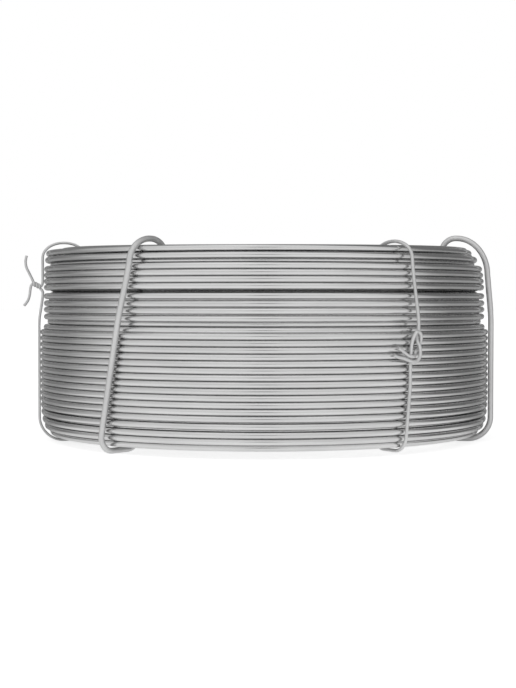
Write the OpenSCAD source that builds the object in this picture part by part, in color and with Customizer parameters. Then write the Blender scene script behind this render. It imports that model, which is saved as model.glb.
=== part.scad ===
// Coil of stainless steel wire: a wound ring of bright drawn wire, held by wire ties.
// The origin is on the coil's axis at floor level, +Z is up along the axis, and -Y is the front.
// Azimuths are in degrees round the axis from the front, plus to the right.

/* [Wire coil] */
// Diameter of the coiled wire
wire_d = 2.5; // [1.5:0.1:4]
// Diameter of the bore, set by the drum that the wire was wound on
bore_d = 152; // [100:1:300]
// Layers of wire from the bore to the outside
layers = 8; // [4:1:14]
// Turns of wire in a full layer
turns = 30; // [22:1:48]
// How far the loose turns of the outer layer have slipped inwards
slip = 1.2; // [0.4:0.1:1.6]
// How far the upper turns of the outer layer stand back from the lower ones
upper_inset = 1.1; // [0:0.1:1.6]
// How far the end turns of the outer layer stand back, where the coil's edges are rounded
edge_inset = 3.2; // [0:0.1:4]

/* [Thick ties] */
// Wire diameter of the three thick ties
thick_tie_d = 2; // [1.2:0.1:3]
// Azimuth of the left tie at half height
left_tie_azimuth = -36.5; // [-50:0.5:-20]
// How far the left tie's foot leans to the left of its top
left_tie_lean = 7; // [0:1:16]
// How far the left tie's arch leans to the right on its way to the bore
left_arch_lean = 2; // [0:0.5:4]
// Share of the widest bend that the left tie takes at its foot
left_foot_bend = 0.6; // [0.5:0.05:1]
// Azimuth of the right tie
right_tie_azimuth = 78; // [70:1:100]
// Azimuth of the back tie
back_tie_azimuth = 200; // [150:1:230]
// Rise of the thick ties' arches over the top of the coil
thick_tie_rise = 1.4; // [0.6:0.1:3]
// Place of the arches' tops over the wall, as a share of the wall from the outside
thick_arch_top = 0.57; // [0.4:0.01:0.75]
// Height of the arches' shoulders on the outside
thick_shoulder_h = 9; // [6:0.5:12]
// Rise of the right tie's arch, which stands higher
right_tie_rise = 3.9; // [0.6:0.1:5]
// Place of the top of the right tie's arch
right_arch_top = 0.67; // [0.4:0.01:0.7]
// Height of the right tie's long shoulder
right_shoulder_h = 15; // [6:0.5:17]
// Slack between the underside of the coil and the thick ties
under_slack = 1; // [0.4:0.1:2]

/* [Thin ties] */
// Wire diameter of the tie with the twisted tails
twisted_tie_d = 0.9; // [0.6:0.05:1.3]
// Azimuth of the tie with the twisted tails
twisted_tie_azimuth = -77; // [-100:1:-65]
// Height of the twist above the underside of the coil
twist_height = 60; // [20:0.5:62]
// Rise of the arch of the tie with the twisted tails
twisted_tie_rise = 2.6; // [0.8:0.1:4]
// Wire diameter of the knotted tie
knotted_tie_d = 1.2; // [0.7:0.05:1.4]
// Azimuth of the knot
knotted_tie_azimuth = 36.7; // [20:0.1:55]
// How far the knot is pulled to the right of the tie's arch
knot_pull_above = 1.2; // [0:0.1:4]
// How far the knot is pulled to the right of the tie's foot
knot_pull_below = 2.7; // [0:0.1:4]
// Height of the knot above the underside of the coil
knot_height = 37.7; // [20:0.1:55]
// Rise of the knotted tie's arch
knotted_tie_rise = 1.2; // [0.8:0.1:3]
// Place of the thin arches' tops over the wall, as a share of the wall from the outside
thin_arch_top = 0.48; // [0.4:0.01:0.75]
// Height of the thin arches' shoulders on the outside
thin_shoulder_h = 6.2; // [5:0.1:12]
// Slack between the underside of the coil and the thin ties
thin_tie_slack = 0.8; // [0.2:0.1:1.2]

/* [Fit] */
// Clearance between a tie and the turns that it holds
tie_clearance = 0.15; // [0.1:0.05:0.3]

/* [Hidden] */

// The coil's derived sizes. Layers nest in each other's grooves, so every second one has a turn less.
layer_step = wire_d * sin(60);
bore_r = bore_d / 2;
inner_turn_r = bore_r + wire_d / 2;
outer_turn_r = inner_turn_r + (layers - 1) * layer_step;
coil_r = outer_turn_r + wire_d / 2;
coil_bottom = thick_tie_d + under_slack + tie_clearance;
coil_top = coil_bottom + turns * wire_d;
// Turns of the outer layer, counted from the top, that have slipped inwards
slipped_turns = [2, 11, 12];
// Number of turns in the upper band of the outer layer
upper_turns = 13;
// Number of turns over which the rounding of an edge dies away
edge_fade = 1.8;
// How far the solid winding reaches past the centres of its outermost turns
core_lap = 0.15 * wire_d;
// Depth of the solid winding below each end of the coil
core_inset = 0.66 * wire_d;
// Room that the outer layer's end turns take from the next layers' end turns
edge_room = 0.8 * wire_d;

// The ties' derived sizes
tie_sides = 8;
bend_step = 11.25;
run_pieces = 12;
spline_pieces = 3;
// Share of the widest bend that a tie takes under the bore's edge
bore_bend = 0.88;
// Height of an arch's shoulder in the bore, and the short level stretch at the arch's top
bore_shoulder_h = 6;
arch_level = 0.5;
// Height at which the ties' lines start to lean inwards over the upper turns
knee_z = coil_top - (upper_turns - 1) * wire_d;
twist_pieces = 16;

// The winding: layer 0 lies in the bore, and turn 0 of each layer is its lowest
function is_short(layer) = (layers - 1 - layer) % 2;
function layer_turns(layer) = turns - is_short(layer);
function is_slipped(i) = len([for (s = slipped_turns) if (s == turns - 1 - i) s]) > 0;
function edge_rounding(i) = edge_inset * (exp(-i / edge_fade) + exp(-(turns - 1 - i) / edge_fade));
function outer_inset(i) =
    edge_rounding(i) + (i >= turns - upper_turns ? upper_inset : 0) + (is_slipped(i) ? slip : 0);
function turn_r(layer, i) = inner_turn_r + layer * layer_step - (layer == layers - 1 ? outer_inset(i) : 0);
function turn_z(layer, i) = coil_bottom + (i + 0.5 + is_short(layer) / 2) * wire_d;
// The outer layer's end turns lie where the next layers' end turns would be. The bore's edges are
// rounded: its layer has no end turns, and a turn of the layer behind it shows there.
function is_under_edge(layer) = (layers - 1 - layer) * layer_step < outer_inset(turns - 1) + edge_room;
function is_end_turn(layer, i) = i == 0 || i == layer_turns(layer) - 1;
low_corner = 1 - is_short(1);
high_corner = layer_turns(1) - 1 - low_corner;
function is_shown(layer, i) =
    layer == 0 ? !is_end_turn(layer, i) :
    layer == layers - 1 ? true :
    is_end_turn(layer, i) ? !is_under_edge(layer) :
    layer == 1 && (i == low_corner || i == high_corner);

function unit(v) = v / norm(v);
function reversed(list) = [for (i = [len(list) - 1:-1:0]) list[i]];
function polar(azimuth, r, z) = [r * sin(azimuth), -r * cos(azimuth), z];
function square_to(v, direction) = unit(v - (v * direction) * direction);

// A smooth curve through hand-chosen points
function curve_point(p, i, t) =
    let (a = p[max(i - 1, 0)], b = p[i], c = p[i + 1], d = p[min(i + 2, len(p) - 1)])
    0.5 * (2 * b + (c - a) * t + (2 * a - 5 * b + 4 * c - d) * t * t + (3 * b - a - 3 * c + d) * t * t * t);
function curve(p) = concat(
    [for (i = [0:len(p) - 2]) for (k = [0:spline_pieces - 1]) curve_point(p, i, k / spline_pieces)],
    [p[len(p) - 1]]);

// A tie's route round the coil's section: its lines outside and in the bore, over the top and under
function outside_r(d) = coil_r + tie_clearance + d / 2;
function arch_foot_r(d) = outside_r(d) - upper_inset;
function inside_r(d) = bore_r - tie_clearance - d / 2;
function over_z(d, rise) = coil_top + tie_clearance + rise + d / 2;
function under_z(d, slack) = coil_bottom - tie_clearance - slack - d / 2;

// Radius of the widest bend that clears a corner turn that stands back from one of the tie's lines
// by an inset, and from the other by a slack
function bend_r(d, inset, slack) = (wire_d + d) / 2 + inset + slack + sqrt(2 * inset * slack);

// An arch over the coil's wall: its rise, the place of its top, its outer shoulder's height, and its
// lean. The left tie's arch leans, and the others stand straight.
left_arch = [thick_tie_rise, thick_arch_top, thick_shoulder_h, left_arch_lean];
right_arch = [right_tie_rise, right_arch_top, right_shoulder_h, 0];
back_arch = [thick_tie_rise, thick_arch_top, thick_shoulder_h, 0];
twisted_arch = [twisted_tie_rise, thin_arch_top, thin_shoulder_h, 0];
knotted_arch = [knotted_tie_rise, thin_arch_top, thin_shoulder_h, 0];
function arch_z(d, arch) = over_z(d, arch[0]);
function arch_top_r(d, arch) = arch_foot_r(d) - arch[1] * (arch_foot_r(d) - inside_r(d));
function arch_foot_z(d, arch) = arch_z(d, arch) - arch[2];

// Radius of the outside line at a height. It leans inwards from the knee to the foot of the arch.
function outside_line_r(d, arch, z) =
    let (share = min(max((z - knee_z) / (arch_foot_z(d, arch) - knee_z), 0), 1))
    outside_r(d) - upper_inset * share;

// A quarter of an ellipse from a line along the coil's height to a line across its wall.
// It is at an outer corner where across is positive, and at a top corner where along is positive.
// It leans from one azimuth to another.
function bend(azimuths, line_r, line_z, across, along) =
    [for (angle = [0:bend_step:90])
        polar(azimuths[0] + (azimuths[1] - azimuths[0]) * (1 - cos(angle)),
              line_r - across * (1 - cos(angle)), line_z - along * (1 - sin(angle)))];

// The arch over the top and the run under the coil, both from the outside to the bore
function over_top(d, azimuth, arch) =
    let (top_r = arch_top_r(d, arch),
         outer = arch_foot_r(d) - top_r,
         inner = top_r - inside_r(d) - arch_level,
         bore_azimuth = azimuth + arch[3],
         top_azimuth = azimuth + arch[3] * arch[1])
    concat(bend([azimuth, top_azimuth], arch_foot_r(d), arch_z(d, arch), outer, arch[2]),
           reversed(bend([bore_azimuth, top_azimuth], inside_r(d), arch_z(d, arch),
                         -inner, bore_shoulder_h)));
function under(d, azimuth, slack, foot_bend) =
    let (outer = foot_bend * bend_r(d, edge_inset, slack),
         inner = bore_bend * bend_r(d, layer_step, slack))
    concat(bend([azimuth, azimuth], outside_r(d), under_z(d, slack), outer, -outer),
           reversed(bend([azimuth, azimuth], inside_r(d), under_z(d, slack), -inner, -inner)));

// A run on the outside of the coil, between two azimuths and two heights
function outside_run(d, arch, from_azimuth, from_z, to_azimuth, to_z) =
    [for (i = [1:run_pieces - 1]) let (t = i / run_pieces, z = from_z + (to_z - from_z) * t)
        polar(from_azimuth + (to_azimuth - from_azimuth) * t, outside_line_r(d, arch, z), z)];

// The azimuth of a place sideways from another, in tie diameters
function beside(azimuth, d, r, sideways) = azimuth + sideways * d / r * 180 / PI;

// Strands of a tie's closure, on the coil's outside or in its bore.
// Their points are sideways, up and away from the face, in tie diameters.
function on_outside(points, d, azimuth, arch, z) =
    [for (p = points) polar(beside(azimuth, d, outside_r(d), p[0]),
                            outside_line_r(d, arch, z + p[1] * d) + p[2] * d, z + p[1] * d)];
function in_bore(points, d, azimuth, z) =
    [for (p = points) polar(beside(azimuth, d, inside_r(d), p[0]), inside_r(d) - p[2] * d, z + p[1] * d)];

// One of the two strands of a twist, starting at a phase of 0 or 180 degrees. A twist has a start,
// a direction, a number of turns, and the radius and pitch of its strands, in tie diameters.
function strand(twist, phase) =
    let (a = unit(twist[1]), up = square_to([0, 1, 0], a), side = cross(a, up))
    [for (i = [0:twist_pieces]) let (turn = twist[2] * i / twist_pieces, angle = phase + 360 * turn)
        twist[0] + a * twist[4] * turn + twist[3] * (cos(angle) * up + sin(angle) * side)];

// The closure of a thick tie, in the bore: two strands twisted together and folded against the wall
bore_twist = [[0.4, 0, 0.9], [1, 0, 0.42], 1.5, 0.56, 3.2];
bore_upper_strand = concat([[0, 6, 0], [0, 3, 0], [0, 1.6, 0.2]], strand(bore_twist, 0),
                           [[6.2, -1.2, 2.8]]);
bore_lower_strand = concat([[0, -6, 0], [0, -3, 0], [0, -1.6, 0.2]], strand(bore_twist, 180),
                           [[6.4, 1.2, 2.7]]);

// The closure of the twisted tie: a twist that stands off the coil, and two long tails that cross over
tail_twist = [[0, 0.2, 0.9], [0, 0.5, 1], 1.5, 0.62, 2.7];
tail_upper_strand = concat([[0, 8, 0], [0, 4, 0], [0, 1.9, 0.1]], strand(tail_twist, 0),
                           [[-0.2, 0.6, 5.3], [-0.4, -1, 5.6], [-0.5, -3, 5.8], [-0.4, -5.2, 6.2],
                            [-0.2, -6.8, 6.9], [0, -8.2, 7.8]]);
tail_lower_strand = concat([[0, -8, 0], [0, -4, 0], [0, -1.8, 0.1]], strand(tail_twist, 180),
                           [[0.2, 4.3, 5], [0.3, 6.9, 6.3], [0.4, 9, 7.3], [0.4, 11.2, 7.7],
                            [0.3, 12.8, 7.6], [0.2, 14.4, 7.2]]);

// The closure of the knotted tie: the lower end makes a loop, the upper end comes out of the loop and
// hooks round the lower run, and both ends point to the left
knot_upper_strand = [[1.6, 8, 0], [1.7, 4.8, 0], [1.6, 3.9, 0], [0.8, 2.6, 0.3], [0.7, 1.4, 0.8],
                     [1.3, -0.1, 1.25], [1.4, -1.7, 1.25], [1.2, -2.9, 1.25], [0.4, -3.9, 1.25],
                     [-0.8, -4.5, 1.25], [-2.2, -4.6, 1.25], [-3.5, -4.3, 1], [-5.2, -3.6, 0.5],
                     [-7, -3.2, 0.2], [-8.7, -2.5, 0.1]];
knot_lower_strand = [[-2.2, -12, 0], [-2.2, -6, 0], [-2.1, -4.5, 0], [-2.1, -2.3, 0.1], [-1.7, 0.5, 0.4],
                     [-1.5, 2.5, 0.9], [-0.7, 4.1, 1.25], [0.3, 4.5, 1.25], [1.4, 3.9, 1.25], [2.3, 2.6, 0.9],
                     [2.3, 1.1, 0.4], [2, 0, 0.1], [1.2, -0.9, 0], [0.4, -1.4, 0], [-0.4, -2.3, 0.1],
                     [-1, -2.9, 0.7], [-2.1, -3.1, 1.2], [-3.4, -2.9, 0.9], [-4.8, -1.9, 0.5],
                     [-6, -1, 0.3], [-7.1, -0.5, 0.1]];

// A tie that is closed in the bore. Its top and its foot may stand at different azimuths.
function bore_closed_route(d, azimuth, lean, arch, slack, foot_bend) =
    let (top = azimuth + lean / 2,
         foot = azimuth - lean / 2,
         z = (coil_bottom + coil_top) / 2,
         over = over_top(d, top, arch),
         below = under(d, foot, slack, foot_bend))
    concat(curve(reversed(in_bore(bore_upper_strand, d, azimuth, z))),
           reversed(over),
           outside_run(d, arch, top, over[0].z, foot, below[0].z),
           below,
           curve(in_bore(bore_lower_strand, d, azimuth, z)));

// A tie that is closed on the outside, at an azimuth and a height above the underside of the coil
function outside_closed_route(d, azimuth, top, foot, height, arch, slack, upper_strand, lower_strand) =
    let (z = coil_bottom + height,
         over = over_top(d, top, arch),
         below = under(d, foot, slack, 1),
         upper = curve(on_outside(upper_strand, d, azimuth, arch, z)),
         lower = curve(on_outside(lower_strand, d, azimuth, arch, z)),
         upper_azimuth = beside(azimuth, d, outside_r(d), upper_strand[0][0]),
         lower_azimuth = beside(azimuth, d, outside_r(d), lower_strand[0][0]))
    concat(reversed(lower),
           outside_run(d, arch, lower_azimuth, lower[0].z, foot, below[0].z),
           below,
           reversed(over),
           outside_run(d, arch, top, over[0].z, upper_azimuth, upper[0].z),
           upper);

// Round wire along a route. One flat of each ring faces straight down where the wire is lowest.
module swept_wire(route, d) {
    last = len(route) - 1;
    along = [for (i = [0:last]) unit(route[min(i + 1, last)] - route[max(i - 1, 0)])];
    heights = [for (p = route) p.z];
    lowest = search(min(heights), heights)[0];
    ahead = [for (i = lowest, u = square_to([0, 0, 1], along[lowest]); i <= last;
                  i = i + 1, u = square_to(u, along[min(i, last)])) u];
    behind = [for (i = lowest, u = square_to([0, 0, 1], along[lowest]); i >= 0;
                   i = i - 1, u = square_to(u, along[max(i, 0)])) u];
    ups = [for (i = [0:last]) square_to(i < lowest ? behind[lowest - i] : ahead[i - lowest], along[i])];
    r = d / 2 / cos(180 / tie_sides);
    points = [for (i = [0:last]) let (side = cross(along[i], ups[i])) for (k = [0:tie_sides - 1])
        let (a = (k + 0.5) * 360 / tie_sides) route[i] + r * (cos(a) * ups[i] + sin(a) * side)];
    function vertex(i, k) = i * tie_sides + k % tie_sides;
    walls = [for (i = [0:last - 1]) for (k = [0:tie_sides - 1]) each
        [[vertex(i, k), vertex(i + 1, k), vertex(i + 1, k + 1)],
         [vertex(i, k), vertex(i + 1, k + 1), vertex(i, k + 1)]]];
    ends = [[for (k = [0:tie_sides - 1]) vertex(0, k)], [for (k = [tie_sides - 1:-1:0]) vertex(last, k)]];
    polyhedron(points, concat(walls, ends), convexity = 12);
}

// The section of the solid winding, between the outermost turns' centres
module winding_section() {
    low = coil_bottom + core_inset;
    high = coil_top - core_inset;
    outer_edge = [for (i = [0:turns - 1])
        [turn_r(layers - 1, i) + core_lap, min(max(turn_z(layers - 1, i), low), high)]];
    bore_edge = inner_turn_r - core_lap;
    end_edge = bore_edge + layer_step;
    polygon(concat(outer_edge,
                   [[end_edge, high], [end_edge, turn_z(1, high_corner)],
                    [bore_edge, turn_z(0, layer_turns(0) - 2)], [bore_edge, turn_z(0, 1)],
                    [end_edge, turn_z(1, low_corner)], [end_edge, low]]));
}

module wire_coil() {
    color("silver")
        rotate_extrude($fn = 180)
            union() {
                winding_section();
                for (layer = [0:layers - 1])
                    for (i = [0:layer_turns(layer) - 1])
                        if (is_shown(layer, i))
                            translate([turn_r(layer, i), turn_z(layer, i)]) circle(d = wire_d, $fn = 32);
            }
}

module thick_tie(azimuth, lean, arch, foot_bend) {
    color("lightgray")
        swept_wire(bore_closed_route(thick_tie_d, azimuth, lean, arch, under_slack, foot_bend), thick_tie_d);
}

module left_tie() {
    thick_tie(left_tie_azimuth, left_tie_lean, left_arch, left_foot_bend);
}

module right_tie() {
    thick_tie(right_tie_azimuth, 0, right_arch, 1);
}

module back_tie() {
    thick_tie(back_tie_azimuth, 0, back_arch, 1);
}

module twisted_tie() {
    color("gainsboro")
        swept_wire(outside_closed_route(twisted_tie_d, twisted_tie_azimuth, twisted_tie_azimuth,
                                        twisted_tie_azimuth, twist_height, twisted_arch, thin_tie_slack,
                                        tail_upper_strand, tail_lower_strand), twisted_tie_d);
}

module knotted_tie() {
    color("gainsboro")
        swept_wire(outside_closed_route(knotted_tie_d, knotted_tie_azimuth,
                                        knotted_tie_azimuth - knot_pull_above,
                                        knotted_tie_azimuth - knot_pull_below, knot_height, knotted_arch,
                                        thin_tie_slack, knot_upper_strand, knot_lower_strand), knotted_tie_d);
}

wire_coil();
left_tie();
right_tie();
back_tie();
twisted_tie();
knotted_tie();
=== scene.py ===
"""Looks of a coil of stainless steel wire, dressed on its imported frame.

The coil is wound turn by turn, and each tie is one bent length of wire.
Sizes are in millimetres and angles in degrees until a mesh is made, which is in metres.
Azimuths go round the coil's axis from the front, plus to the right, as in the part's source.
"""

import logging
import math
from dataclasses import dataclass, field
from enum import Enum
from typing import Any, NamedTuple, Optional, Sequence, Union

import bpy
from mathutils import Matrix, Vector


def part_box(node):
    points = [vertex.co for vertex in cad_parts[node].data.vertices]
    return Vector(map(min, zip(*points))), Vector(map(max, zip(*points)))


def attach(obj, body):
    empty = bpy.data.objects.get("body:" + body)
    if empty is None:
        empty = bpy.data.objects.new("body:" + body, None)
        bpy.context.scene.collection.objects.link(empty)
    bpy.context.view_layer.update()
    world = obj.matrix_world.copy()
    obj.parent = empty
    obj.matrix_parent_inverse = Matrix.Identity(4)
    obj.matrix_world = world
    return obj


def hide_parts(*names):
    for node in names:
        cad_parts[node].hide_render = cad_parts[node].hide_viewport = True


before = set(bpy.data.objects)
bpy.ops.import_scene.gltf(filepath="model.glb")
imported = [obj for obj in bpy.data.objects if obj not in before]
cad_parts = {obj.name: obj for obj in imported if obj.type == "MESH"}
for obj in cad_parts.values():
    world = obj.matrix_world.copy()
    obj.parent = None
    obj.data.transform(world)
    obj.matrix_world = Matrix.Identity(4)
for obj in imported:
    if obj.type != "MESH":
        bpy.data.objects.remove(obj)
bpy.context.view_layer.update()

MM = 0.001
ROOT = "root"
LOG = logging.getLogger("wire_coil")


class Slot(Enum):
    """Names for the two wires' material slots, which no piece is given."""

    DRAWN_WIRE = "drawn_wire"
    TIE_WIRE = "tie_wire"


class Face(Enum):
    """The face of the coil that a tie is closed on, and the way that the face looks."""

    OUTSIDE = 1
    BORE = -1


class Turn(NamedTuple):
    """One turn of the coil: its centre line's radius and height.

    At the coil's sides it may have slid to the left, stand higher than in front, or be tucked in,
    and at the left it may hang lower.
    """

    r: float
    z: float
    slid: float = 0.0
    lift: float = 0.0
    tucked: float = 0.0
    hung: float = 0.0


@dataclass
class Route:
    """A wire's centre line, in millimetres."""

    points: list[Vector]
    closed: bool = False


def linear(hex_colour: str) -> tuple[float, float, float, float]:
    """Turn an sRGB hex colour into linear RGBA.

    Args:
        hex_colour: Six hex digits after a hash.

    Returns:
        The colour's linear red, green, blue and an alpha of 1.
    """
    channels = [int(hex_colour[i:i + 2], 16) / 255 for i in (1, 3, 5)]
    red, green, blue = [c / 12.92 if c <= 0.04045 else ((c + 0.055) / 1.055) ** 2.4 for c in channels]
    return red, green, blue, 1.0


def add_node(tree: bpy.types.NodeTree, kind: str, inputs: Optional[dict[Union[str, int], Any]] = None,
             **settings: Any) -> bpy.types.Node:
    """Add a node with its settings, and link or set its inputs.

    Args:
        tree: The tree that gets the node.
        kind: The node's type name.
        inputs: Sockets to link, or values to set, by the input's name or its number.
        **settings: The node's own properties.

    Returns:
        The new node.
    """
    node = tree.nodes.new(kind)
    for name, value in settings.items():
        setattr(node, name, value)
    for key, value in (inputs or {}).items():
        if isinstance(key, int):
            socket = node.inputs[key]
        else:
            socket = next(s for s in node.inputs if s.name == key and s.enabled)
        if isinstance(value, bpy.types.NodeSocket):
            tree.links.new(value, socket)
        else:
            socket.default_value = value
    return node


def polar(azimuth: float, r: float, z: float) -> Vector:
    """Give the point at an azimuth, a radius and a height."""
    return Vector((r * math.sin(math.radians(azimuth)), -r * math.cos(math.radians(azimuth)), z))


def grey(level: float) -> tuple[float, float, float, float]:
    """Give a linear grey with an alpha of 1."""
    return level, level, level, 1.0


def hill(t: float) -> float:
    """Rise from 0 to 1 midway, and fall back to 0."""
    return 4 * t * (1 - t)


def ease(t: float) -> float:
    """Ease a step from 0 to 1, level at both ends."""
    t = min(max(t, 0.0), 1.0)
    return t * t * (3 - 2 * t)


def curve(points: Sequence[Vector], pieces: int) -> list[Vector]:
    """Run a smooth curve through given points.

    Args:
        points: The points that the curve passes through.
        pieces: Straight pieces between two points.

    Returns:
        The curve's points, with the first and the last of those given.
    """
    last = len(points) - 1
    smooth = []
    for i in range(last):
        a, b, c, d = points[max(i - 1, 0)], points[i], points[i + 1], points[min(i + 2, last)]
        for k in range(pieces):
            t = k / pieces
            smooth.append(0.5 * (2 * b + (c - a) * t + (2 * a - 5 * b + 4 * c - d) * t ** 2
                                 + (3 * b - a - 3 * c + d) * t ** 3))
    return smooth + [points[last]]


class SweptWire:
    """The node tree that sweeps round wire along routes, and the pieces made with it."""

    def __init__(self) -> None:
        """Build the tree, whose inputs are the wire's sizes and finish."""
        self.tree = bpy.data.node_groups.new("swept_wire", "GeometryNodeTree")
        face = self.tree.interface
        face.new_socket("Route", in_out="INPUT", socket_type="NodeSocketGeometry")
        self.diameter = face.new_socket("Wire Diameter", in_out="INPUT", socket_type="NodeSocketFloat")
        self.sides = face.new_socket("Sides", in_out="INPUT", socket_type="NodeSocketInt")
        self.finish = face.new_socket("Finish", in_out="INPUT", socket_type="NodeSocketMaterial")
        face.new_socket("Wire", in_out="OUTPUT", socket_type="NodeSocketGeometry")
        self._build()

    def _build(self) -> None:
        """Lay out the tree's nodes.

        The wire keeps its length along the route and its place across the section as attributes,
        so that a finish can follow the wire.
        """
        tree = self.tree
        given = add_node(tree, "NodeGroupInput")
        centre_line = add_node(tree, "GeometryNodeMeshToCurve", {"Mesh": given.outputs["Route"]})
        measure = add_node(tree, "GeometryNodeSplineParameter")
        measured = add_node(tree, "GeometryNodeStoreNamedAttribute",
                            {"Geometry": centre_line.outputs["Curve"], "Name": "along",
                             "Value": measure.outputs["Length"]}, data_type="FLOAT", domain="POINT")
        radius = add_node(tree, "ShaderNodeMath", {0: given.outputs["Wire Diameter"], 1: 0.5},
                          operation="MULTIPLY")
        section = add_node(tree, "GeometryNodeCurvePrimitiveCircle",
                           {"Resolution": given.outputs["Sides"], "Radius": radius.outputs["Value"]},
                           mode="RADIUS")
        place = add_node(tree, "GeometryNodeInputPosition")
        placed = add_node(tree, "GeometryNodeStoreNamedAttribute",
                          {"Geometry": section.outputs["Curve"], "Name": "across",
                           "Value": place.outputs["Position"]}, data_type="FLOAT_VECTOR", domain="POINT")
        wire = add_node(tree, "GeometryNodeCurveToMesh",
                        {"Curve": measured.outputs["Geometry"], "Profile Curve": placed.outputs["Geometry"],
                         "Fill Caps": True})
        smooth = add_node(tree, "GeometryNodeSetShadeSmooth", {"Geometry": wire.outputs["Mesh"]})
        real = add_node(tree, "GeometryNodeRealizeInstances", {"Geometry": smooth.outputs["Geometry"]})
        dressed = add_node(tree, "GeometryNodeSetMaterial",
                           {"Geometry": real.outputs["Geometry"], "Material": given.outputs["Finish"]})
        add_node(tree, "NodeGroupOutput", {"Wire": dressed.outputs["Geometry"]})

    def piece(self, name: str, routes: Sequence[Route], diameter: float, sides: int,
              finish: bpy.types.Material) -> bpy.types.Object:
        """Make one piece of wire, or of several lengths of wire, as a plain mesh.

        Args:
            name: The piece's name.
            routes: The centre lines of its lengths.
            diameter: The wire's diameter in millimetres.
            sides: Sides of the wire's section.
            finish: The wire's material.

        Returns:
            The piece's object, at the origin.
        """
        points: list[Vector] = []
        edges: list[tuple[int, int]] = []
        for route in routes:
            first = len(points)
            points += [p * MM for p in route.points]
            edges += [(i, i + 1) for i in range(first, len(points) - 1)]
            if route.closed:
                edges.append((len(points) - 1, first))
        lines = bpy.data.meshes.new(name + "_route")
        lines.from_pydata(points, edges, [])
        piece = bpy.data.objects.new(name, lines)
        bpy.context.scene.collection.objects.link(piece)
        sweep = piece.modifiers.new("swept_wire", "NODES")
        sweep.node_group = self.tree
        sweep[self.diameter.identifier] = diameter * MM
        sweep[self.sides.identifier] = sides
        sweep[self.finish.identifier] = finish
        piece.update_tag()
        evaluated = piece.evaluated_get(bpy.context.evaluated_depsgraph_get())
        mesh = bpy.data.meshes.new_from_object(evaluated)
        piece.modifiers.remove(sweep)
        piece.data = mesh
        mesh.name = name
        bpy.data.meshes.remove(lines)
        return piece


def seat(piece: bpy.types.Object, node: str) -> None:
    """Let a piece stand for a node of the frame and ride on its body.

    Args:
        piece: The finished piece.
        node: The node that it replaces.
    """
    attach(piece, ROOT)
    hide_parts(node)
    LOG.info("%s: %d faces, stands for %s", piece.name, len(piece.data.polygons), node)


@dataclass(frozen=True)
class WireFinish:
    """Stainless steel wire, drawn through a die.

    The die leaves faint lines along the wire, which blur its gloss across them, and the drawing
    soap leaves long paler and duller stretches.
    Real die lines are about 0.02 mm apart, too fine to show, so they are drawn coarser.
    """

    name: str
    pale: str
    dull: str
    smooth: float
    rough: float
    line_width: float = 0.22
    line_length: float = 45.0
    stretch_width: float = 2.4
    stretch_length: float = 30.0
    line_depth: float = 0.004
    line_strength: float = 0.5
    # Noise levels from which the wire is dull and pale, and from which it is smooth and rough
    colour_levels: tuple[float, float] = (0.35, 0.65)
    gloss_levels: tuple[float, float] = (0.7, 1.3)
    noise_detail: float = 2.0

    def material(self) -> bpy.types.Material:
        """Build the finish from its sizes.

        Returns:
            The wire's material.
        """
        material = bpy.data.materials.new(self.name)
        material.use_nodes = True
        tree = material.node_tree
        tree.nodes.clear()
        lines = self._streaks(tree, self.line_width, self.line_length)
        stretches = self._streaks(tree, self.stretch_width, self.stretch_length)
        colour = add_node(tree, "ShaderNodeValToRGB", {"Fac": stretches})
        shades = zip(colour.color_ramp.elements, self.colour_levels, (self.dull, self.pale))
        for stop, level, shade in shades:
            stop.position = level
            stop.color = linear(shade)
        marks = add_node(tree, "ShaderNodeMath", {0: lines, 1: stretches}, operation="ADD")
        gloss = add_node(tree, "ShaderNodeMapRange",
                         {"Value": marks.outputs["Value"], "From Min": self.gloss_levels[0],
                          "From Max": self.gloss_levels[1], "To Min": self.smooth,
                          "To Max": self.rough})
        relief = add_node(tree, "ShaderNodeBump",
                          {"Strength": self.line_strength, "Distance": self.line_depth * MM,
                           "Height": lines})
        steel = add_node(tree, "ShaderNodeBsdfPrincipled",
                         {"Base Color": colour.outputs["Color"], "Metallic": 1.0,
                          "Roughness": gloss.outputs["Result"], "Normal": relief.outputs["Normal"]})
        add_node(tree, "ShaderNodeOutputMaterial", {"Surface": steel.outputs["BSDF"]})
        return material

    def _streaks(self, tree: bpy.types.NodeTree, width: float, length: float) -> bpy.types.NodeSocket:
        """Add a noise that is drawn out along the wire.

        Args:
            tree: The material's tree.
            width: Width of a streak in millimetres.
            length: Length of a streak in millimetres.

        Returns:
            The noise's output.
        """
        across = add_node(tree, "ShaderNodeAttribute", attribute_name="across")
        along = add_node(tree, "ShaderNodeAttribute", attribute_name="along")
        drawn_out = add_node(tree, "ShaderNodeMath", {0: along.outputs["Fac"], 1: width / length},
                             operation="MULTIPLY")
        split = add_node(tree, "ShaderNodeSeparateXYZ", {"Vector": across.outputs["Vector"]})
        place = add_node(tree, "ShaderNodeCombineXYZ",
                         {"X": split.outputs["X"], "Y": split.outputs["Y"], "Z": drawn_out.outputs["Value"]})
        noise = add_node(tree, "ShaderNodeTexNoise",
                         {"Vector": place.outputs["Vector"], "Scale": 1 / (width * MM),
                          "Detail": self.noise_detail},
                         noise_dimensions="3D")
        return noise.outputs["Fac"]


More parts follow.
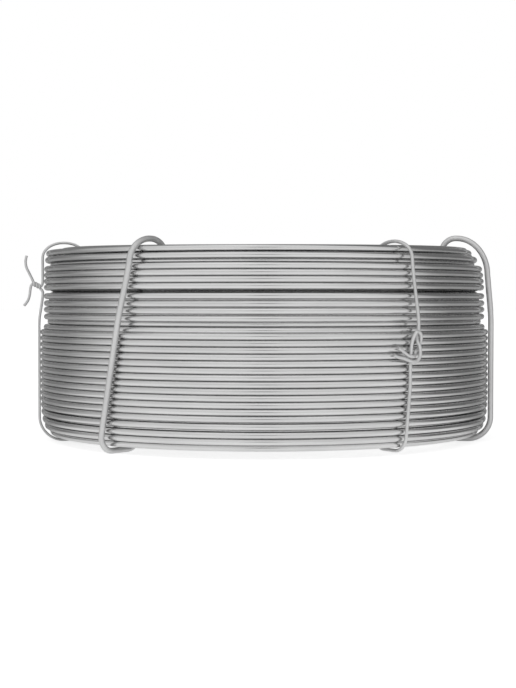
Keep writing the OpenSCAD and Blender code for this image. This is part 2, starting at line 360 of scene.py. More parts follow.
@dataclass
class Winding:
    """The wound wire of the coil.

    Layer 0 lies in the bore. Layers nest in each other's grooves, so every second one has a turn
    less. Each turn lies level, and steps to the next in a crossover at the back. The outer layer
    is wound from the top down. Its turns are counted from the top, and those of other layers from
    the bottom.
    """

    wire_d: float = 2.5
    bore_d: float = 152.0
    layers: int = 8
    turns: int = 30
    bottom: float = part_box("wire_coil")[0][2] / MM
    # The upper edge's rounding, and the turns over which it fades
    edge_inset: float = 3.2
    edge_fade: float = 1.8
    # Share of the upper edge's rounding by which its turns have slid to the left
    edge_slide: float = 0.7
    # The lower edge's rounding in front, the turns over which it fades, and how far its turns are
    # tucked in at the sides and hang at the left
    foot_inset: float = 1.6
    foot_fade: float = 1.2
    foot_tuck: float = 2.4
    foot_hang: float = 0.4
    # How far the upper turns stand back, and how many of them do
    upper_inset: float = 1.5
    upper_turns: int = 13
    # Outer turns that have slipped inwards
    slipped_turns: tuple[int, ...] = (2, 11, 12)
    # Depth of the first outer turn below the top, and the spacing above some others where they lie
    # slipped or loose, in wire diameters
    first_depth: float = 0.38
    spacings: dict[int, float] = field(default_factory=lambda: {
        1: 1.08, 2: 0.76, 3: 0.74, 7: 1.44, 8: 1.16, 9: 1.06, 10: 1.14, 11: 0.82, 12: 0.9, 13: 0.84,
        26: 1.12, 27: 1.2, 29: 0.9})
    # Outer turn with a wide gap below it, and the heights of the two second-layer turns behind that
    # gap, as shares of the spacing there. Elsewhere one turn lies in the middle of each gap.
    wide_gap: int = 6
    wide_gap_heights: tuple[float, ...] = (0.15, 0.85)
    gap_heights: tuple[float, ...] = (0.5,)
    # How far the upper end turns of the layers inside the edge stand above the top, in front and more
    # at the sides
    raised_ends: float = 0.45
    raised_lift: float = 0.9
    # Layers from the outside, and depth in wire diameters, of the turn that the outer layer starts from
    buried_layers: int = 3
    buried_depth: float = 1.5
    # Place and half width of the crossovers, and the place of the wire's outer end, as azimuths
    crossover_azimuth: float = 180.0
    crossover_half_width: float = 24.0
    outer_end_azimuth: float = -150.0
    # Layers whose end turns show on the ends of the coil
    end_layers: int = 5
    # Points in a turn and sides of the section, by how well a layer shows
    outer_steps: int = 168
    outer_sides: int = 14
    inner_steps: int = 128
    inner_sides: int = 12
    hidden_steps: int = 96
    hidden_sides: int = 8
    # Length that a stretch of end turns goes on inside the coil, in turns
    hidden_lead: float = 0.3

    @property
    def layer_step(self) -> float:
        """Radial distance between nested layers, whose turns touch in triangles of 60 degrees."""
        return self.wire_d * math.sin(math.radians(60))

    @property
    def top(self) -> float:
        """Height of the coil's upper end."""
        return self.bottom + self.turns * self.wire_d

    @property
    def inner_turn_r(self) -> float:
        """Radius of the turns in the bore."""
        return (self.bore_d + self.wire_d) / 2

    @property
    def outer_turn_r(self) -> float:
        """Radius of the outer layer's regular turns."""
        return self.inner_turn_r + (self.layers - 1) * self.layer_step

    @property
    def coil_r(self) -> float:
        """Outer radius of the coil."""
        return self.outer_turn_r + self.wire_d / 2

    @property
    def knee_z(self) -> float:
        """Height above which the ties' lines lean inwards over the upper turns."""
        return self.top - (self.upper_turns - 1) * self.wire_d

    def firm_turn(self, turn: int, z: float) -> Turn:
        """Lay a turn of the outer layer that hasn't slipped.

        Args:
            turn: The turn's number from the top.
            z: Its height.

        Returns:
            The turn.
        """
        top = self.edge_inset * math.exp(-turn / self.edge_fade)
        foot = math.exp(-(self.turns - 1 - turn) / self.foot_fade)
        inset = top + self.foot_inset * foot + (self.upper_inset if turn < self.upper_turns else 0.0)
        return Turn(self.outer_turn_r - inset, z, slid=self.edge_slide * top,
                    tucked=self.foot_tuck * foot, hung=self.foot_hang * foot)

    def outer_heights(self) -> list[float]:
        """Work out the heights of the outer turns, from the top down.

        Returns:
            One height for each turn.
        """
        heights = [self.top - self.first_depth * self.wire_d]
        for turn in range(1, self.turns):
            heights.append(heights[-1] - self.spacings.get(turn, 1.0) * self.wire_d)
        return heights

    def behind(self, turn: Turn, z: float) -> float:
        """Give the radius at which another turn, at height z, lies against a turn's inner side."""
        return turn.r - math.sqrt(max(self.wire_d ** 2 - (turn.z - z) ** 2, 0.0))

    def outer_layer(self) -> list[Turn]:
        """Lay the outer layer's turns, from the top down.

        Returns:
            The turns. A slipped one lies against those beside it that haven't slipped.
        """
        laid = [self.firm_turn(i, z) for i, z in enumerate(self.outer_heights())]
        for i in self.slipped_turns:
            beside = [laid[n] for n in (i - 1, i + 1) if n not in self.slipped_turns]
            laid[i] = laid[i]._replace(r=min(self.behind(turn, laid[i].z) for turn in beside))
        return laid

    def second_layer(self) -> list[Turn]:
        """Lay the turns that show in the outer layer's gaps.

        Returns:
            The turns, each behind the groove between two outer ones.
        """
        outer = self.outer_layer()
        laid = []
        for i in range(1, self.turns - 2):
            upper, lower = outer[i], outer[i + 1]
            middle = Turn(*[(a + b) / 2 for a, b in zip(upper, lower)])
            shares = self.wide_gap_heights if i == self.wide_gap else self.gap_heights
            for share in shares:
                z = lower.z + (upper.z - lower.z) * share
                laid.append(middle._replace(r=min(self.behind(upper, z), self.behind(lower, z)), z=z))
        return laid

    def inner_layer(self, layer: int) -> list[Turn]:
        """Lay one of the layers under the outer ones, in the order of winding.

        Args:
            layer: The layer's number.

        Returns:
            The layer's turns. Even layers are wound upwards, and odd ones downwards.
        """
        short = (self.layers - 1 - layer) % 2
        r = self.inner_turn_r + layer * self.layer_step
        lowest = self.bottom + (1 + short) / 2 * self.wire_d
        laid = [Turn(r, lowest + i * self.wire_d) for i in range(self.turns - short)]
        if layer > 1 and not short:
            laid[-1] = Turn(r, laid[-1].z + self.raised_ends, lift=self.raised_lift)
        return laid if layer % 2 == 0 else laid[::-1]

    def buried_turn(self) -> Turn:
        """Give the turn under the upper edge, where the outer layer starts from."""
        r = self.inner_turn_r + (self.layers - self.buried_layers) * self.layer_step
        return Turn(r, self.top - self.buried_depth * self.wire_d)

    def stretch(self, turns: Sequence[Turn], start: float, end: float, steps: int,
                hump: float = 0.0) -> Route:
        """Run the wire through turns in the order of winding.

        Args:
            turns: The turns.
            start: Where the stretch starts, in turns from the first turn's crossover.
            end: Where the stretch ends.
            steps: Points in a turn.
            hump: Rise of a crossover over the layer below it.

        Returns:
            The wire's route.
        """
        half = self.crossover_half_width / 360
        points = []
        count = max(round((end - start) * steps), 2)
        for k in range(count + 1):
            place = start + (end - start) * k / count
            nearest = round(place)
            past = min(max(nearest, 0), len(turns) - 1)
            before = min(max(nearest - 1, 0), len(turns) - 1)
            step = ease((place - nearest + half) / (2 * half))
            here = Turn(*[a + (b - a) * step for a, b in zip(turns[before], turns[past])])
            here = here._replace(r=here.r + hump * hill(step))
            points.append(self.on_turn(here, self.crossover_azimuth - 360 * place))
        return Route(points)

    @staticmethod
    def on_turn(turn: Turn, azimuth: float) -> Vector:
        """Give the point of a turn at an azimuth.

        Args:
            turn: The turn.
            azimuth: The point's azimuth.

        Returns:
            The point of the turn's centre line.
        """
        to_right = math.sin(math.radians(azimuth))
        sideways = to_right ** 2
        at_left = sideways if to_right < 0 else 0.0
        place = polar(azimuth, turn.r - turn.tucked * sideways, turn.z - turn.hung * at_left)
        return place + Vector((-turn.slid, 0, turn.lift)) * sideways

    def ring(self, turn: Turn, steps: int) -> Route:
        """Run a closed turn, for one whose crossover other turns hide."""
        return Route([self.on_turn(turn, 360 * k / steps) for k in range(steps)], closed=True)

    def outer_route(self) -> Route:
        """Run the outer layer.

        Returns:
            The wire's route, from under the upper edge to the wire's end at the back.
        """
        turns = [self.buried_turn()] + self.outer_layer()
        end = len(turns) - 1 + (self.crossover_azimuth - self.outer_end_azimuth) / 360
        return self.stretch(turns, 1 - self.crossover_half_width / 360, end, self.outer_steps,
                            self.wire_d - self.layer_step)

    def bore_route(self) -> Route:
        """Run the layer in the bore, whose edges are rounded.

        Returns:
            The wire's route, from a turn of the next layer at the lower edge to one at the upper edge.
        """
        behind = sorted(self.inner_layer(1), key=lambda turn: turn.z)
        turns = [behind[1]] + self.inner_layer(0)[1:-1] + [behind[-2]]
        return self.stretch(turns, 0.0, len(turns), self.inner_steps)

    def end_routes(self) -> list[Route]:
        """Run the end turns of the layers between the bore and the outer edge.

        Returns:
            The first layer's upper end turn, and one route for each pair of end turns, where the wire
            goes from a layer to the next.
        """
        routes = [self.ring(self.inner_layer(1)[0], self.inner_steps)]
        for layer in range(1, self.end_layers):
            if layer + 1 < self.end_layers:
                following = self.inner_layer(layer + 1)[:2]
                end = 3 + self.hidden_lead
            else:
                following = [self.buried_turn()]
                end = 2 + self.crossover_half_width / 360
            turns = self.inner_layer(layer)[-2:] + following
            routes.append(self.stretch(turns, 1 - self.hidden_lead, end, self.inner_steps))
        return routes

    def build(self, wires: SweptWire, finish: bpy.types.Material) -> list[bpy.types.Object]:
        """Make the coil's pieces.

        Args:
            wires: The maker of swept wire.
            finish: The wire's material.

        Returns:
            The pieces.
        """
        second = [self.ring(turn, self.hidden_steps) for turn in self.second_layer()]
        return [
            wires.piece("outer_layer", [self.outer_route()], self.wire_d, self.outer_sides, finish),
            wires.piece("second_layer", second, self.wire_d, self.hidden_sides, finish),
            wires.piece("bore_layer", [self.bore_route()], self.wire_d, self.inner_sides, finish),
            wires.piece("end_turns", self.end_routes(), self.wire_d, self.inner_sides, finish),
        ]

    def dress(self, pieces: Sequence[bpy.types.Object]) -> None:
        """Seat the pieces that build made on the frame."""
        for piece in pieces:
            seat(piece, "wire_coil")


@dataclass(frozen=True)
class Arch:
    """A tie's arch over the coil's wall."""

    rise: float
    # Place of the arch's top over the wall, as a share of the wall from the outside
    top: float
    # Height of the arch's shoulder on the outside
    shoulder_h: float
    # How far the arch leans to the right on its way to the bore, in degrees
    lean: float = 0.0


@dataclass(kw_only=True)
class Tie:
    """A wire tie round the coil's section, with its route close to that in the part's source."""

    node: str
    coil: Winding
    d: float
    azimuth: float
    arch: Arch
    slack: float
    # How much thicker the wire shows than in the part's source, with its dull annealed skin
    skin: float = 0.15
    # Share of the widest bend that the tie takes at its foot, and under the bore's edge
    foot_bend: float = 1.0
    bore_bend: float = 0.88
    # Height of the arch's shoulder in the bore, and the short level stretch at the arch's top
    bore_shoulder_h: float = 6.0
    arch_level: float = 0.5
    # Height over which the outside line leans inwards above the knee
    lean_height: float = 24.0
    # Room between the tie and the coil
    clearance: float = 0.15
    bend_pieces: int = 20
    run_pieces: int = 30
    curve_pieces: int = 6
    sides: int = 20

    @property
    def shown_d(self) -> float:
        """Diameter of the wire as it shows."""
        return self.d + self.skin

    @property
    def outside_r(self) -> float:
        """Radius of the tie's line on the outside of the coil."""
        return self.coil.coil_r + self.clearance + self.shown_d / 2

    @property
    def arch_foot_r(self) -> float:
        """Radius of that line at the foot of the arch."""
        return self.outside_r - self.coil.upper_inset

    @property
    def inside_r(self) -> float:
        """Radius of the tie's line in the bore."""
        return self.coil.bore_d / 2 - self.clearance - self.shown_d / 2

    @property
    def over_z(self) -> float:
        """Height of the tie's line over the top."""
        return self.coil.top + self.clearance + self.arch.rise + self.shown_d / 2

    @property
    def under_z(self) -> float:
        """Height of the tie's line under the coil."""
        return self.coil.bottom - self.clearance - self.slack - self.d + self.shown_d / 2

    @property
    def arch_top_r(self) -> float:
        """Radius of the arch's top."""
        return self.arch_foot_r - self.arch.top * (self.arch_foot_r - self.inside_r)

    def bend_r(self, inset: float, slack: float) -> float:
        """Give the widest bend that clears a corner turn, set back by both sizes from the tie's lines."""
        return (self.coil.wire_d + self.shown_d) / 2 + inset + slack + math.sqrt(2 * inset * slack)

    def bend(self, azimuths: tuple[float, float], line: Turn, across: float, along: float) -> list[Vector]:
        """Bend from a line along the coil's height to a line across its wall, by a quarter of an ellipse.

        Args:
            azimuths: The bend's azimuth at its start and at its end.
            line: The radius of the first line and the height of the second.
            across: The bend's width, which is positive at an outer corner.
            along: The bend's height, which is positive at a top corner.

        Returns:
            The bend's points.
        """
        points = []
        for k in range(self.bend_pieces + 1):
            angle = math.pi / 2 * k / self.bend_pieces
            over = 1 - math.cos(angle)
            azimuth = azimuths[0] + (azimuths[1] - azimuths[0]) * over
            points.append(polar(azimuth, line.r - across * over, line.z - along * (1 - math.sin(angle))))
        return points

    def over_top(self, azimuth: float) -> list[Vector]:
        """Run the arch over the top, from the outside to the bore.

        Args:
            azimuth: Azimuth of the arch's outer foot.

        Returns:
            The arch's points.
        """
        outer = self.arch_foot_r - self.arch_top_r
        inner = self.arch_top_r - self.inside_r - self.arch_level
        top_azimuth = azimuth + self.arch.lean * self.arch.top
        bore_azimuth = azimuth + self.arch.lean
        shoulder = self.bend((azimuth, top_azimuth), Turn(self.arch_foot_r, self.over_z), outer,
                             self.arch.shoulder_h)
        bore_shoulder = self.bend((bore_azimuth, top_azimuth), Turn(self.inside_r, self.over_z), -inner,
                                  self.bore_shoulder_h)
        return shoulder + bore_shoulder[::-1]

    def under(self, azimuth: float) -> list[Vector]:
        """Run the tie under the coil, from the outside to the bore.

        Args:
            azimuth: The run's azimuth.

        Returns:
            The run's points.
        """
        outer = self.foot_bend * self.bend_r(self.coil.edge_inset, self.slack)
        inner = self.bore_bend * self.bend_r(self.coil.layer_step, self.slack)
        foot = self.bend((azimuth, azimuth), Turn(self.outside_r, self.under_z), outer, -outer)
        bore_foot = self.bend((azimuth, azimuth), Turn(self.inside_r, self.under_z), -inner, -inner)
        return foot + bore_foot[::-1]

    def outside_line_r(self, z: float) -> float:
        """Give the outside line's radius at height z. The line leans inwards above the knee."""
        return self.outside_r - self.coil.upper_inset * ease((z - self.coil.knee_z) / self.lean_height)

    def outside_run(self, start_azimuth: float, start_z: float, end_azimuth: float,
                    end_z: float) -> list[Vector]:
        """Run the tie on the outside of the coil, without the run's two ends.

        Args:
            start_azimuth: Azimuth of the run's start.
            start_z: Height of the run's start.
            end_azimuth: Azimuth of the run's end.
            end_z: Height of the run's end.

        Returns:
            The run's points.
        """
        points = []
        for k in range(1, self.run_pieces):
            share = k / self.run_pieces
            z = start_z + (end_z - start_z) * share
            azimuth = start_azimuth + (end_azimuth - start_azimuth) * share
            points.append(polar(azimuth, self.outside_line_r(z), z))
        return points

    def turned(self, sideways: float) -> float:
        """Turn a sideways distance on the outside, in tie diameters, into an azimuth."""
        return self.azimuth + math.degrees(sideways * self.d / self.outside_r)

    def near_face(self, points: Sequence[Vector], z: float, face: Face) -> list[Vector]:
        """Place a closure's strand on a face of the coil.

        Args:
            points: The strand: sideways, up and away from the face, in tie diameters.
            z: The closure's height.
            face: The face that it lies on.

        Returns:
            The strand as a smooth curve.
        """
        line_r = self.outside_r if face is Face.OUTSIDE else self.inside_r
        placed = []
        for p in points:
            point_z = z + p.y * self.d
            face_r = self.outside_line_r(point_z) if face is Face.OUTSIDE else self.inside_r
            placed.append(polar(self.azimuth + math.degrees(p.x * self.d / line_r),
                                face_r + face.value * p.z * self.d, point_z))
        return curve(placed, self.curve_pieces)

    def route(self) -> Route:
        """Run the whole tie."""
        raise NotImplementedError

    def build(self, wires: SweptWire, finish: bpy.types.Material) -> bpy.types.Object:
        """Make the tie from swept wire with a finish."""
        return wires.piece(self.node + "_wire", [self.route()], self.shown_d, self.sides, finish)

    def dress(self, piece: bpy.types.Object) -> None:
        """Seat the tie on the frame."""
        seat(piece, self.node)


@dataclass
class Twist:
    """Two strands of tie wire twisted together. Sizes are in tie diameters."""

    start: Vector
    along: Vector
    strand_r: float = 0.56
    pitch: float = 3.2
    turns: float = 1.5
    pieces: int = 16

    def strand(self, phase: float) -> list[Vector]:
        """Run one of the two strands.

        Args:
            phase: The angle at which the strand starts, 0 or 180 degrees.

        Returns:
            The strand's points.
        """
        along = self.along.normalized()
        up = Vector((0, 1, 0))
        up = (up - up.dot(along) * along).normalized()
        side = along.cross(up)
        points = []
        for k in range(self.pieces + 1):
            share = k / self.pieces
            angle = math.radians(phase + 360 * self.turns * share)
            points.append(self.start + along * self.pitch * self.turns * share
                          + self.strand_r * (math.cos(angle) * up + math.sin(angle) * side))
        return points


def spots(*points: tuple[float, float, float]) -> list[Vector]:
    """Turn listed points into vectors."""
    return [Vector(p) for p in points]


@dataclass(kw_only=True)
class ThickTie(Tie):
    """A thick tie, closed in the bore by a twist that is folded against the wall."""

    d: float = 2.0
    skin: float = 0.3
    arch: Arch = Arch(rise=1.7, top=0.57, shoulder_h=9.0)
    slack: float = 1.0
    # Angle by which the tie's top stands to the right of its foot
    lean: float = 0.0
    twist: Twist = field(default_factory=lambda: Twist(Vector((0.4, 0, 0.9)), Vector((1, 0, 0.42))))

    def upper_strand(self) -> list[Vector]:
        """Give the strand that comes down from the top."""
        lead = spots((0, 6, 0), (0, 3, 0), (0, 1.6, 0.2))
        return lead + self.twist.strand(0) + spots((6.2, -1.2, 2.8))

    def lower_strand(self) -> list[Vector]:
        """Give the strand that comes up from the foot."""
        lead = spots((0, -6, 0), (0, -3, 0), (0, -1.6, 0.2))
        return lead + self.twist.strand(180) + spots((6.4, 1.2, 2.7))

    def route(self) -> Route:
        """Run the whole tie.

        Returns:
            The tie's route, from the end of one strand to the end of the other.
        """
        top = self.azimuth + self.lean / 2
        foot = self.azimuth - self.lean / 2
        z = (self.coil.bottom + self.coil.top) / 2
        over = self.over_top(top)
        under = self.under(foot)
        return Route(self.near_face(self.upper_strand(), z, Face.BORE)[::-1]
                     + over[::-1]
                     + self.outside_run(top, over[0].z, foot, under[0].z)
                     + under
                     + self.near_face(self.lower_strand(), z, Face.BORE))


@dataclass(kw_only=True)
class ThinTie(Tie):
    """A thin tie that is closed on the outside, at a height above the underside of the coil."""

    slack: float = 0.8
    height: float = 0.0
    # How far the closure is pulled to the right of the tie's arch and foot, in degrees
    pull_above: float = 0.0
    pull_below: float = 0.0

    def upper_strand(self) -> list[Vector]:
        """Give the strand that comes down from the top."""
        raise NotImplementedError

    def lower_strand(self) -> list[Vector]:
        """Give the strand that comes up from the foot."""
        raise NotImplementedError

    def route(self) -> Route:
        """Run the whole tie.

        Returns:
            The tie's route, from the end of one strand to the end of the other.
        """
        z = self.coil.bottom + self.height
        top = self.azimuth - self.pull_above
        foot = self.azimuth - self.pull_below
        over = self.over_top(top)
        under = self.under(foot)
        upper = self.near_face(self.upper_strand(), z, Face.OUTSIDE)
        lower = self.near_face(self.lower_strand(), z, Face.OUTSIDE)
        return Route(lower[::-1]
                     + self.outside_run(self.turned(self.lower_strand()[0].x), lower[0].z, foot, under[0].z)
                     + under
                     + over[::-1]
                     + self.outside_run(top, over[0].z, self.turned(self.upper_strand()[0].x), upper[0].z)
                     + upper)


@dataclass(kw_only=True)
class TwistedTie(ThinTie):
    """The thin tie whose twist stands off the coil and ends in two long tails."""

    d: float = 0.9
    slack: float = 2.0
    foot_bend: float = 0.93
    lean_height: float = 13.0
    height: float = 60.0
    arch: Arch = Arch(rise=2.6, top=0.48, shoulder_h=6.2)
    twist: Twist = field(default_factory=lambda: Twist(
        Vector((0, 0.2, 0.9)), Vector((0, 0.5, 1)), strand_r=0.62, pitch=2.7))

    def upper_strand(self) -> list[Vector]:
        """Give the strand that comes down from the top and ends in the lower tail."""
        return (spots((0, 8, 0), (0, 4, 0), (0, 1.9, 0.1)) + self.twist.strand(0)
                + spots((-0.2, 0.6, 5.3), (-0.4, -1, 5.6), (-0.5, -3, 5.8), (-0.4, -5.2, 6.2),
                        (-0.2, -6.8, 6.9), (0, -8.2, 7.8)))

    def lower_strand(self) -> list[Vector]:
        """Give the strand that comes up from the foot and ends in the upper tail."""
        return (spots((0, -8, 0), (0, -4, 0), (0, -1.8, 0.1)) + self.twist.strand(180)
                + spots((0.2, 4.3, 5), (0.3, 6.9, 6.3), (0.4, 9, 7.3), (0.4, 11.2, 7.7), (0.3, 12.8, 7.6),
                        (0.2, 14.4, 7.2)))


@dataclass(kw_only=True)
class KnottedTie(ThinTie):
    """The thin tie whose ends are knotted through each other and point to the left."""

    d: float = 1.2
    foot_bend: float = 0.8
    height: float = 37.7
    arch: Arch = Arch(rise=1.2, top=0.48, shoulder_h=6.2, lean=-2.0)
    pull_above: float = 0.3
    pull_below: float = 2.7

    def upper_strand(self) -> list[Vector]:
        """Give the strand that comes down out of the loop and hooks round the lower run."""
        return spots((1.3, 8, 0), (1.2, 4.8, 0), (1, 3.7, 0), (0.3, 2.7, 0.3), (0, 1.6, 0.8),
                     (0.5, 0.1, 1.25), (0.8, -1.5, 1.25), (0.7, -2.9, 1.25), (0.1, -3.9, 1.25),
                     (-0.9, -4.5, 1.25), (-2.2, -4.6, 1.25), (-3.5, -4.3, 1), (-5.2, -3.6, 0.5),
                     (-7, -3.2, 0.2), (-8.7, -2.5, 0.1))

    def lower_strand(self) -> list[Vector]:
        """Give the strand that comes up from the foot and makes the loop."""
        return spots((-2.2, -12, 0), (-2.2, -6, 0), (-2.1, -4.5, 0), (-2.1, -2.3, 0.1), (-2, 0.5, 0.4),
                     (-1.8, 2.6, 0.9), (-1.1, 4.2, 1.25), (-0.2, 4.6, 1.25), (0.8, 4, 1.25),
                     (1.4, 2.7, 0.9), (1.5, 1.2, 0.4), (1.3, 0, 0.1), (0.8, -0.9, 0), (0.1, -1.4, 0),
                     (-0.5, -2.3, 0.1), (-1, -2.9, 0.7), (-2.1, -3.1, 1.2), (-3.4, -2.9, 0.9),
                     (-4.8, -1.9, 0.5), (-6, -1, 0.3), (-7.1, -0.5, 0.1))


@dataclass
class Studio:
    """The pale floor, the soft light and the camera."""

    floor_side: float = 12000.0
    floor_colour: str = "#D0D0D0"
    # Glow that lifts the floor to the white of the backdrop, and a painted reflection: extra glow of the
    # floor that only metal shows, in front
    floor_glow: float = 0.76
    painted_floor_reflection: float = 0.55
    # Angles from the front between which the painted reflection of the floor in metal dies away
    front_full: float = 50.0
    front_end: float = 95.0
    # Light of the studio by the angle from the front, in half turns, to the left and to the right
    left_light: tuple[tuple[float, float], ...] = (
        (0.0, 0.82), (0.4, 0.82), (0.55, 0.58), (0.62, 0.42), (0.67, 0.26), (0.82, 0.22), (0.9, 0.28),
        (1.0, 0.4))
    right_light: tuple[tuple[float, float], ...] = (
        (0.0, 0.82), (0.42, 0.8), (0.47, 0.55), (0.5, 0.33), (0.53, 0.2), (0.6, 0.18), (0.7, 0.17),
        (0.84, 0.2), (0.9, 0.25), (1.0, 0.4))
    # Share of the view's width, to each side, over which the left light turns into the right one
    side_blend: float = 0.1
    # Half width and half height, in degrees, of a dark upright patch in front, its share of the light,
    # and the part of it that has no more than that share
    patch_width: float = 12.0
    patch_height: float = 35.0
    patch_light: float = 0.4
    patch_core: float = 0.3
    # Extra share of light from overhead, and the sines of the heights where it starts and is full
    overhead: float = 0.4
    overhead_start: float = 0.7
    overhead_full: float = 0.95
    # Angle from the front, in half turns, from which metal shows the backdrop's full white
    backdrop_start: float = 0.95
    # The camera's distance from the axis, its height above the coil's underside, its sensor and lens,
    # and the angles that it is turned by
    eye_distance: float = 632.0
    eye_height: float = 55.54
    sensor_width: float = 36.0
    lens: float = 78.2
    pitch: float = -1.744
    yaw: float = 0.23

    def build(self, coil: Winding) -> None:
        """Set up the floor, the light and the camera.

        Args:
            coil: The coil that the camera looks at.
        """
        self._floor()
        self._light()
        self._camera(coil)
        bpy.context.scene.view_settings.view_transform = "Standard"

    def _floor(self) -> None:
        """Lay the floor."""
        half = self.floor_side / 2 * MM
        mesh = bpy.data.meshes.new("floor")
        corners = [(-half, -half, 0), (half, -half, 0), (half, half, 0), (-half, half, 0)]
        mesh.from_pydata(corners, [], [(0, 1, 2, 3)])
        floor = bpy.data.objects.new("floor", mesh)
        bpy.context.scene.collection.objects.link(floor)
        mesh.materials.append(self._floor_paper())

    def _floor_paper(self) -> bpy.types.Material:
        """Make the floor's white studio paper, which glows up to the white of the backdrop, with a painted
        reflection of extra glow that only metal shows in front.

        Returns:
            The floor's material.
        """
        material = bpy.data.materials.new("studio_paper")
        material.use_nodes = True
        tree = material.node_tree
        tree.nodes.clear()
        paper = add_node(tree, "ShaderNodeBsdfDiffuse", {"Color": linear(self.floor_colour)})
        ray = add_node(tree, "ShaderNodeLightPath")
        place = add_node(tree, "ShaderNodeTexCoord")
        outwards = add_node(tree, "ShaderNodeVectorMath", {0: place.outputs["Object"]},
                            operation="NORMALIZE")
        frontal = add_node(tree, "ShaderNodeVectorMath", {0: outwards.outputs["Vector"], 1: (0, -1, 0)},
                           operation="DOT_PRODUCT")
        # Painted reflection: for glossy rays only, the floor glows more in front, so metal shows a brighter
        # floor there than the floor's own light gives
        front = add_node(tree, "ShaderNodeMapRange",
                         {"Value": frontal.outputs["Value"],
                          "From Min": math.cos(math.radians(self.front_end)),
                          "From Max": math.cos(math.radians(self.front_full)),
                          "To Max": self.painted_floor_reflection}, interpolation_type="SMOOTHSTEP")
        mirrored = add_node(tree, "ShaderNodeMath",
                            {0: ray.outputs["Is Glossy Ray"], 1: front.outputs["Result"]},
                            operation="MULTIPLY")
        direct = add_node(tree, "ShaderNodeMath",
                          {0: ray.outputs["Is Camera Ray"], 1: ray.outputs["Is Transmission Ray"]},
                          operation="MAXIMUM")
        level = add_node(tree, "ShaderNodeMath",
                         {0: direct.outputs["Value"], 1: self.floor_glow, 2: mirrored.outputs["Value"]},
                         operation="MULTIPLY_ADD")
        glow = add_node(tree, "ShaderNodeEmission", {"Strength": level.outputs["Value"]})
        both = add_node(tree, "ShaderNodeAddShader", {0: paper.outputs["BSDF"], 1: glow.outputs["Emission"]})
        add_node(tree, "ShaderNodeOutputMaterial", {"Surface": both.outputs["Shader"]})
        return material

    def _light(self) -> None:
        """Light the studio from its surroundings, with a white backdrop behind the coil."""
        world = bpy.data.worlds.new("studio")
        bpy.context.scene.world = world
        world.use_nodes = True
        tree = world.node_tree
        tree.nodes.clear()
        direction = add_node(tree, "ShaderNodeTexCoord")
        split = add_node(tree, "ShaderNodeSeparateXYZ", {"Vector": direction.outputs["Generated"]})
        frontal = add_node(tree, "ShaderNodeMath", {0: split.outputs["Y"], 1: -1.0}, operation="MULTIPLY")
        angle = add_node(tree, "ShaderNodeMath", {0: frontal.outputs["Value"]}, operation="ARCCOSINE")
        half_turns = add_node(tree, "ShaderNodeMath", {0: angle.outputs["Value"], 1: math.pi},
                              operation="DIVIDE")
        sides = []
        for light in (self.left_light, self.right_light):
            ramp = add_node(tree, "ShaderNodeValToRGB", {"Fac": half_turns.outputs["Value"]})
            stops = ramp.color_ramp.elements
            for place, level in light[1:-1]:
                stops.new(place).color = grey(level)
            stops[0].color = grey(light[0][1])
            stops[len(stops) - 1].color = grey(light[-1][1])
            sides.append(ramp.outputs["Color"])
        to_right = add_node(tree, "ShaderNodeMapRange",
                            {"Value": split.outputs["X"], "From Min": -self.side_blend,
                             "From Max": self.side_blend})
        # Inputs 6 and 7 and output 2 of this node are its colours
        studio = add_node(tree, "ShaderNodeMix",
                          {"Factor": to_right.outputs["Result"], 6: sides[0], 7: sides[1]},
                          data_type="RGBA")
        flat = add_node(tree, "ShaderNodeVectorMath",
                        {0: direction.outputs["Generated"],
                         1: (1 / math.sin(math.radians(self.patch_width)), 0,
                             1 / math.sin(math.radians(self.patch_height)))}, operation="MULTIPLY")
        from_patch = add_node(tree, "ShaderNodeVectorMath", {0: flat.outputs["Vector"]}, operation="LENGTH")
        patch = add_node(tree, "ShaderNodeMapRange",
                         {"Value": from_patch.outputs["Value"], "From Min": self.patch_core,
                          "To Min": self.patch_light},
                         interpolation_type="SMOOTHSTEP")
        at_back = add_node(tree, "ShaderNodeMath", {0: split.outputs["Y"], 1: 0.0}, operation="GREATER_THAN")
        unshaded = add_node(tree, "ShaderNodeMath",
                            {0: patch.outputs["Result"], 1: at_back.outputs["Value"]}, operation="MAXIMUM")
        overhead = add_node(tree, "ShaderNodeMapRange",
                            {"Value": split.outputs["Z"], "From Min": self.overhead_start,
                             "From Max": self.overhead_full, "To Max": self.overhead})
        strength = add_node(tree, "ShaderNodeMath",
                            {0: unshaded.outputs["Value"], 1: overhead.outputs["Result"]}, operation="ADD")
        around = add_node(tree, "ShaderNodeBackground",
                          {"Color": studio.outputs[2], "Strength": strength.outputs["Value"]})
        backdrop = add_node(tree, "ShaderNodeBackground", {"Color": grey(1.0)})
        ray = add_node(tree, "ShaderNodeLightPath")
        behind = add_node(tree, "ShaderNodeMath", {0: half_turns.outputs["Value"], 1: self.backdrop_start},
                          operation="GREATER_THAN")
        mirrored = add_node(tree, "ShaderNodeMath",
                            {0: ray.outputs["Is Glossy Ray"], 1: behind.outputs["Value"]},
                            operation="MULTIPLY")
        direct = add_node(tree, "ShaderNodeMath",
                          {0: ray.outputs["Is Camera Ray"], 1: ray.outputs["Is Transmission Ray"]},
                          operation="MAXIMUM")
        seen = add_node(tree, "ShaderNodeMath",
                        {0: direct.outputs["Value"], 1: mirrored.outputs["Value"]}, operation="MAXIMUM")
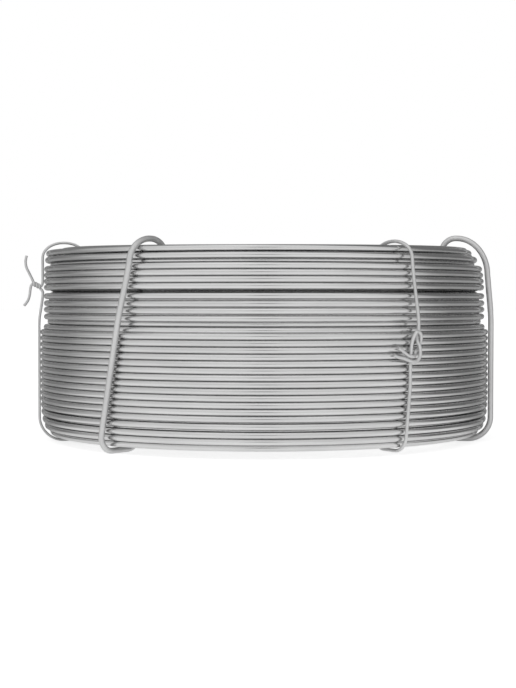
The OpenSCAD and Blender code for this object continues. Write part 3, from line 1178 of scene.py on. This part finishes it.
        shown = add_node(tree, "ShaderNodeMixShader",
                         {"Fac": seen.outputs["Value"], 1: around.outputs["Background"],
                          2: backdrop.outputs["Background"]})
        add_node(tree, "ShaderNodeOutputWorld", {"Surface": shown.outputs["Shader"]})

    def _camera(self, coil: Winding) -> None:
        """Set the camera at the photograph's viewing angle.

        Args:
            coil: The coil that the camera looks at.
        """
        camera = bpy.data.cameras.new("camera")
        camera.sensor_fit = "AUTO"
        camera.sensor_width = self.sensor_width
        camera.lens = self.lens
        eye = bpy.data.objects.new("camera", camera)
        eye.location = Vector((0, -self.eye_distance, coil.bottom + self.eye_height)) * MM
        eye.rotation_euler = (math.radians(90 + self.pitch), 0, math.radians(self.yaw))
        bpy.context.scene.collection.objects.link(eye)
        bpy.context.scene.camera = eye


def main() -> None:
    """Build the coil, its ties and the studio in order, and report each piece."""
    logging.basicConfig(level=logging.INFO, format="%(name)s: %(message)s")
    # Bright drawn steel shows its surroundings as streaks along each turn
    drawn = WireFinish("bright_drawn_stainless_wire", pale="#DEDEDE", dull="#D2D2D2", smooth=0.14,
                       rough=0.24).material()
    # Annealing leaves a pale satin skin that only shades softly
    annealed = WireFinish("annealed_stainless_tie_wire", pale="#E6E6E6", dull="#D8D8D8", smooth=0.5,
                          rough=0.62).material()
    wires = SweptWire()
    coil = Winding()
    Studio().build(coil)
    coil.dress(coil.build(wires, drawn))
    ties: list[Tie] = [
        ThickTie(node="left_tie", coil=coil, azimuth=-36.1, lean=7.8, foot_bend=0.6,
                 arch=Arch(rise=1.7, top=0.57, shoulder_h=9.0, lean=2.0)),
        ThickTie(node="right_tie", coil=coil, azimuth=78.0,
                 arch=Arch(rise=3.9, top=0.67, shoulder_h=15.0)),
        ThickTie(node="back_tie", coil=coil, azimuth=200.0, foot_bend=0.75),
        TwistedTie(node="twisted_tie", coil=coil, azimuth=-77.0),
        KnottedTie(node="knotted_tie", coil=coil, azimuth=36.7),
    ]
    for tie in ties:
        tie.dress(tie.build(wires, annealed))


if __name__ == "__main__":
    main()
